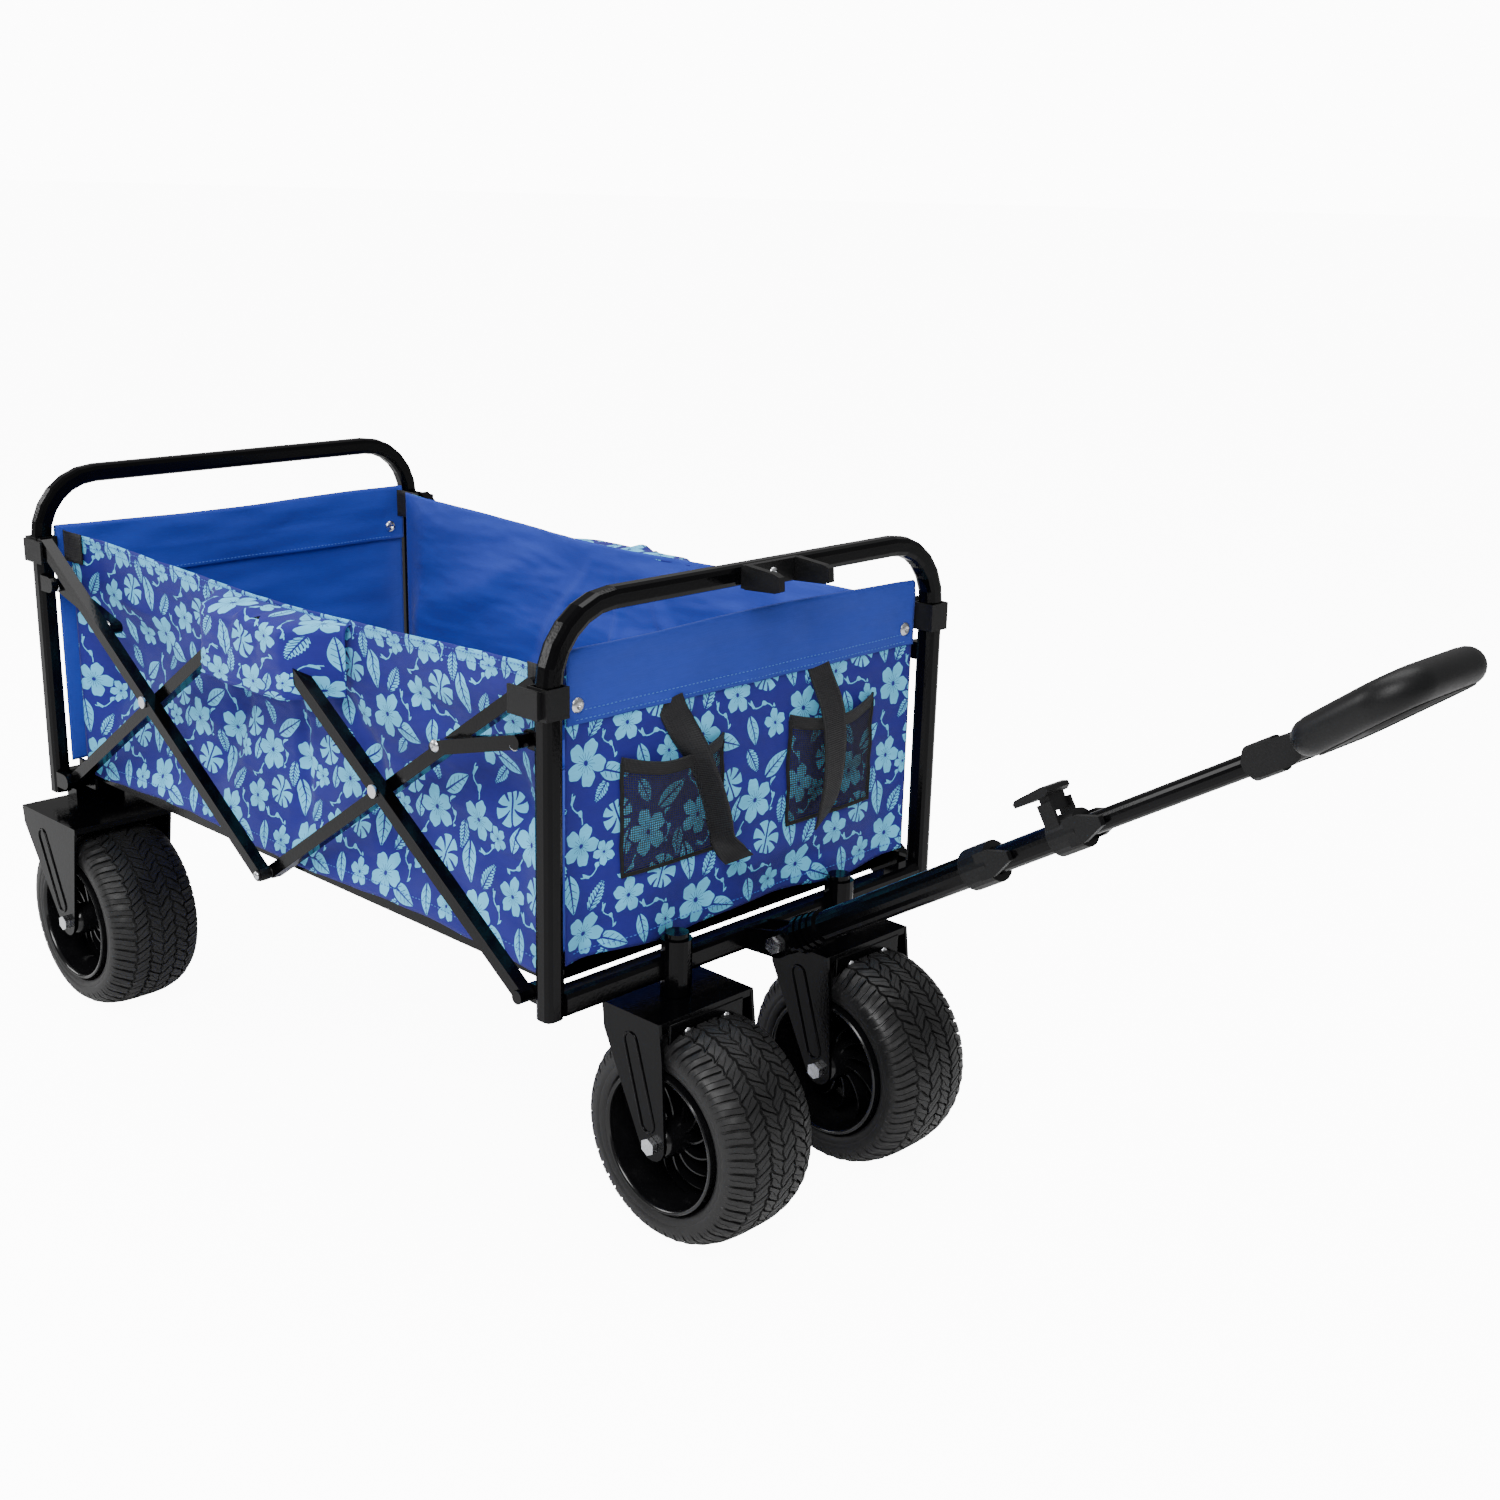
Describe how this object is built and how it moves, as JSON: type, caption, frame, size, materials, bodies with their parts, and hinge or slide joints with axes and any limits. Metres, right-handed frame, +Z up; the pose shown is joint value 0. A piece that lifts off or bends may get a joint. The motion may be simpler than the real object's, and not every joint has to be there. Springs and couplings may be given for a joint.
{
  "type": "folding beach cart",
  "caption": "Folding cart with a fabric basket between two hoop frames, crossed side bars, fat wheels, swivelling front casters and a telescoping pull handle.",
  "frame": {"origin": "on the ground, at the middle of the footprint of the cart with its handle drawn", "axes": "+X is the pull direction, +Y is the cart's left side, +Z is up"},
  "size_m": [1.3906, 0.533, 0.576],
  "materials": {
    "black_paint": "gloss black powder coat",
    "rim_gloss": "gloss black",
    "moulded_plastic": "satin",
    "tread_rubber": "matte",
    "plain_steel": "zinc plated",
    "plain_fabric": "woven polyester, royal blue",
    "printed_fabric": "woven polyester with a floral print on indigo",
    "pocket_mesh": "open mesh"
  },
  "bodies": {
    "front_frame": {"front_hoop": "black_paint", "front_crossbar": "black_paint", "front_panel": "printed_fabric", "front_socket_right": "moulded_plastic", "front_socket_left": "moulded_plastic", "handle_clip": "moulded_plastic", "pocket_right": "pocket_mesh", "pocket_left": "pocket_mesh", "handle_pivot_bolt": "plain_steel", "side_panel_right": "printed_fabric", "side_panel_left": "printed_fabric"},
    "floor_front": {"floor_front_frame": "black_paint", "floor_front_pad": "plain_fabric"},
    "floor_rear": {"floor_rear_frame": "black_paint", "floor_rear_pad": "plain_fabric"},
    "rear_frame": {"rear_hoop": "black_paint", "rear_crossbar": "black_paint", "rear_panel": "plain_fabric", "rear_socket_right": "moulded_plastic", "rear_socket_left": "moulded_plastic", "rear_fork_right": "black_paint", "rear_fork_left": "black_paint", "rear_axle_right": "plain_steel", "rear_axle_left": "plain_steel"},
    "front_rise_right": {"front_rise_bar_right": "black_paint", "front_cross_rivet_right": "plain_steel"},
    "front_fall_right": {"front_fall_bar_right": "black_paint"},
    "rear_rise_right": {"rear_rise_bar_right": "black_paint", "rear_cross_rivet_right": "plain_steel"},
    "rear_fall_right": {"rear_fall_bar_right": "black_paint"},
    "front_link_right": {"front_link_right": "black_paint"},
    "rear_link_right": {"rear_link_right": "black_paint"},
    "caster_right": {"caster_fork_right": "black_paint", "front_axle_right": "plain_steel"},
    "front_wheel_right": {"front_rim_right": "rim_gloss", "front_tyre_right": "tread_rubber"},
    "rear_wheel_right": {"rear_rim_right": "rim_gloss", "rear_tyre_right": "tread_rubber"},
    "front_rise_left": {"front_rise_bar_left": "black_paint", "front_cross_rivet_left": "plain_steel"},
    "front_fall_left": {"front_fall_bar_left": "black_paint"},
    "rear_rise_left": {"rear_rise_bar_left": "black_paint", "rear_cross_rivet_left": "plain_steel"},
    "rear_fall_left": {"rear_fall_bar_left": "black_paint"},
    "front_link_left": {"front_link_left": "black_paint"},
    "rear_link_left": {"rear_link_left": "black_paint"},
    "caster_left": {"caster_fork_left": "black_paint", "front_axle_left": "plain_steel"},
    "front_wheel_left": {"front_rim_left": "rim_gloss", "front_tyre_left": "tread_rubber"},
    "rear_wheel_left": {"rear_rim_left": "rim_gloss", "rear_tyre_left": "tread_rubber"},
    "pull_handle": {"handle_lower_tube": "black_paint", "lower_collar": "moulded_plastic"},
    "pull_middle": {"handle_middle_tube": "black_paint", "upper_collar": "moulded_plastic"},
    "pull_upper": {"handle_upper_tube": "black_paint", "grip_yoke": "moulded_plastic"},
    "release_lever": {"release_lever": "moulded_plastic"},
    "grip": {"grip": "moulded_plastic"}
  },
  "joints": [
    {"name": "fold", "type": "hinge", "parent": "front_frame", "child": "floor_front", "pos_m": [0.08165, 0, 0.238], "axis": [0, 1, 0], "range_deg": [0, 72.55], "deforming": ["side_panel_right", "side_panel_left"]},
    {"name": "floor_middle", "type": "hinge", "parent": "floor_front", "child": "floor_rear", "pos_m": [-0.27585, 0, 0.2298], "axis": [0, 1, 0], "range_deg": [-145.12, 0.01]},
    {"name": "floor_rear_ear", "type": "hinge", "parent": "floor_rear", "child": "rear_frame", "pos_m": [-0.63335, 0, 0.238], "axis": [0, 1, 0], "range_deg": [-0.01, 72.56]},
    {"name": "front_foot_right", "type": "hinge", "parent": "front_frame", "child": "front_rise_right", "pos_m": [0.08965, -0.232, 0.229], "axis": [0, 1, 0], "range_deg": [0, 39.69]},
    {"name": "front_cross_right", "type": "hinge", "parent": "front_rise_right", "child": "front_fall_right", "pos_m": [-0.0931, -0.219, 0.353], "axis": [0, 1, 0], "range_deg": [-79.37, 0]},
    {"name": "rear_foot_right", "type": "hinge", "parent": "rear_frame", "child": "rear_rise_right", "pos_m": [-0.64135, -0.219, 0.229], "axis": [0, 1, 0], "range_deg": [-39.69, 0]},
    {"name": "rear_cross_right", "type": "hinge", "parent": "rear_rise_right", "child": "rear_fall_right", "pos_m": [-0.4586, -0.232, 0.353], "axis": [0, 1, 0], "range_deg": [0, 79.37]},
    {"name": "front_link_pivot_right", "type": "hinge", "parent": "front_frame", "child": "front_link_right", "pos_m": [0.08965, -0.232, 0.4353], "axis": [0, 1, 0], "range_deg": [0, 86.09]},
    {"name": "rear_link_pivot_right", "type": "hinge", "parent": "rear_frame", "child": "rear_link_right", "pos_m": [-0.64135, -0.219, 0.4353], "axis": [0, 1, 0], "range_deg": [-86.09, 0]},
    {"name": "caster_swivel_right", "type": "hinge", "parent": "front_frame", "child": "caster_right", "pos_m": [0.12365, -0.1, 0.202], "axis": [0, 0, 1], "continuous": true},
    {"name": "front_wheel_spin_right", "type": "hinge", "parent": "caster_right", "child": "front_wheel_right", "pos_m": [0.15365, -0.1, 0.095], "axis": [0, 1, 0], "continuous": true},
    {"name": "rear_wheel_spin_right", "type": "hinge", "parent": "rear_frame", "child": "rear_wheel_right", "pos_m": [-0.60035, -0.207, 0.095], "axis": [0, 1, 0], "continuous": true},
    {"name": "front_foot_left", "type": "hinge", "parent": "front_frame", "child": "front_rise_left", "pos_m": [0.08965, 0.232, 0.229], "axis": [0, 1, 0], "range_deg": [0, 39.69]},
    {"name": "front_cross_left", "type": "hinge", "parent": "front_rise_left", "child": "front_fall_left", "pos_m": [-0.0931, 0.219, 0.353], "axis": [0, 1, 0], "range_deg": [-79.37, 0]},
    {"name": "rear_foot_left", "type": "hinge", "parent": "rear_frame", "child": "rear_rise_left", "pos_m": [-0.64135, 0.219, 0.229], "axis": [0, 1, 0], "range_deg": [-39.69, 0]},
    {"name": "rear_cross_left", "type": "hinge", "parent": "rear_rise_left", "child": "rear_fall_left", "pos_m": [-0.4586, 0.232, 0.353], "axis": [0, 1, 0], "range_deg": [0, 79.37]},
    {"name": "front_link_pivot_left", "type": "hinge", "parent": "front_frame", "child": "front_link_left", "pos_m": [0.08965, 0.232, 0.4353], "axis": [0, 1, 0], "range_deg": [0, 86.09]},
    {"name": "rear_link_pivot_left", "type": "hinge", "parent": "rear_frame", "child": "rear_link_left", "pos_m": [-0.64135, 0.219, 0.4353], "axis": [0, 1, 0], "range_deg": [-86.09, 0]},
    {"name": "caster_swivel_left", "type": "hinge", "parent": "front_frame", "child": "caster_left", "pos_m": [0.12365, 0.1, 0.202], "axis": [0, 0, 1], "continuous": true},
    {"name": "front_wheel_spin_left", "type": "hinge", "parent": "caster_left", "child": "front_wheel_left", "pos_m": [0.15365, 0.1, 0.095], "axis": [0, 1, 0], "continuous": true},
    {"name": "rear_wheel_spin_left", "type": "hinge", "parent": "rear_frame", "child": "rear_wheel_left", "pos_m": [-0.60035, 0.207, 0.095], "axis": [0, 1, 0], "continuous": true},
    {"name": "pull_pitch", "type": "hinge", "parent": "front_frame", "child": "pull_handle", "pos_m": [0.15565, 0, 0.2305], "axis": [0, -1, 0], "range_deg": [-46.4, 56]},
    {"name": "pull_middle_slide", "type": "slide", "parent": "pull_handle", "child": "pull_middle", "axis": [0.8536, 0, 0.521], "range_m": [-0.034, 0.07]},
    {"name": "pull_upper_slide", "type": "slide", "parent": "pull_middle", "child": "pull_upper", "axis": [0.8536, 0, 0.521], "range_m": [-0.116, 0.03]},
    {"name": "lever_press", "type": "hinge", "parent": "pull_middle", "child": "release_lever", "pos_m": [0.41161, 0, 0.41193], "axis": [0, -1, 0], "range_deg": [0, 10], "stiffness_Nm_per_rad": 0.3},
    {"name": "grip_tilt", "type": "hinge", "parent": "pull_upper", "child": "grip", "pos_m": [0.59438, 0, 0.4983], "axis": [0, -1, 0], "range_deg": [-60, 80]}
  ],
  "couplings": [
    {"joint": "floor_middle", "follows": "fold", "ratio": -2},
    {"joint": "floor_rear_ear", "follows": "fold", "ratio": 1},
    {"joint": "front_foot_right", "follows": "fold", "ratio": 0.54684},
    {"joint": "front_cross_right", "follows": "fold", "ratio": -1.0937},
    {"joint": "rear_foot_right", "follows": "fold", "ratio": -0.54684},
    {"joint": "rear_cross_right", "follows": "fold", "ratio": 1.0937},
    {"joint": "front_link_pivot_right", "follows": "fold", "ratio": 1.1864},
    {"joint": "rear_link_pivot_right", "follows": "fold", "ratio": -1.1864},
    {"joint": "front_foot_left", "follows": "fold", "ratio": 0.54684},
    {"joint": "front_cross_left", "follows": "fold", "ratio": -1.0937},
    {"joint": "rear_foot_left", "follows": "fold", "ratio": -0.54684},
    {"joint": "rear_cross_left", "follows": "fold", "ratio": 1.0937},
    {"joint": "front_link_pivot_left", "follows": "fold", "ratio": 1.1864},
    {"joint": "rear_link_pivot_left", "follows": "fold", "ratio": -1.1864}
  ]
}
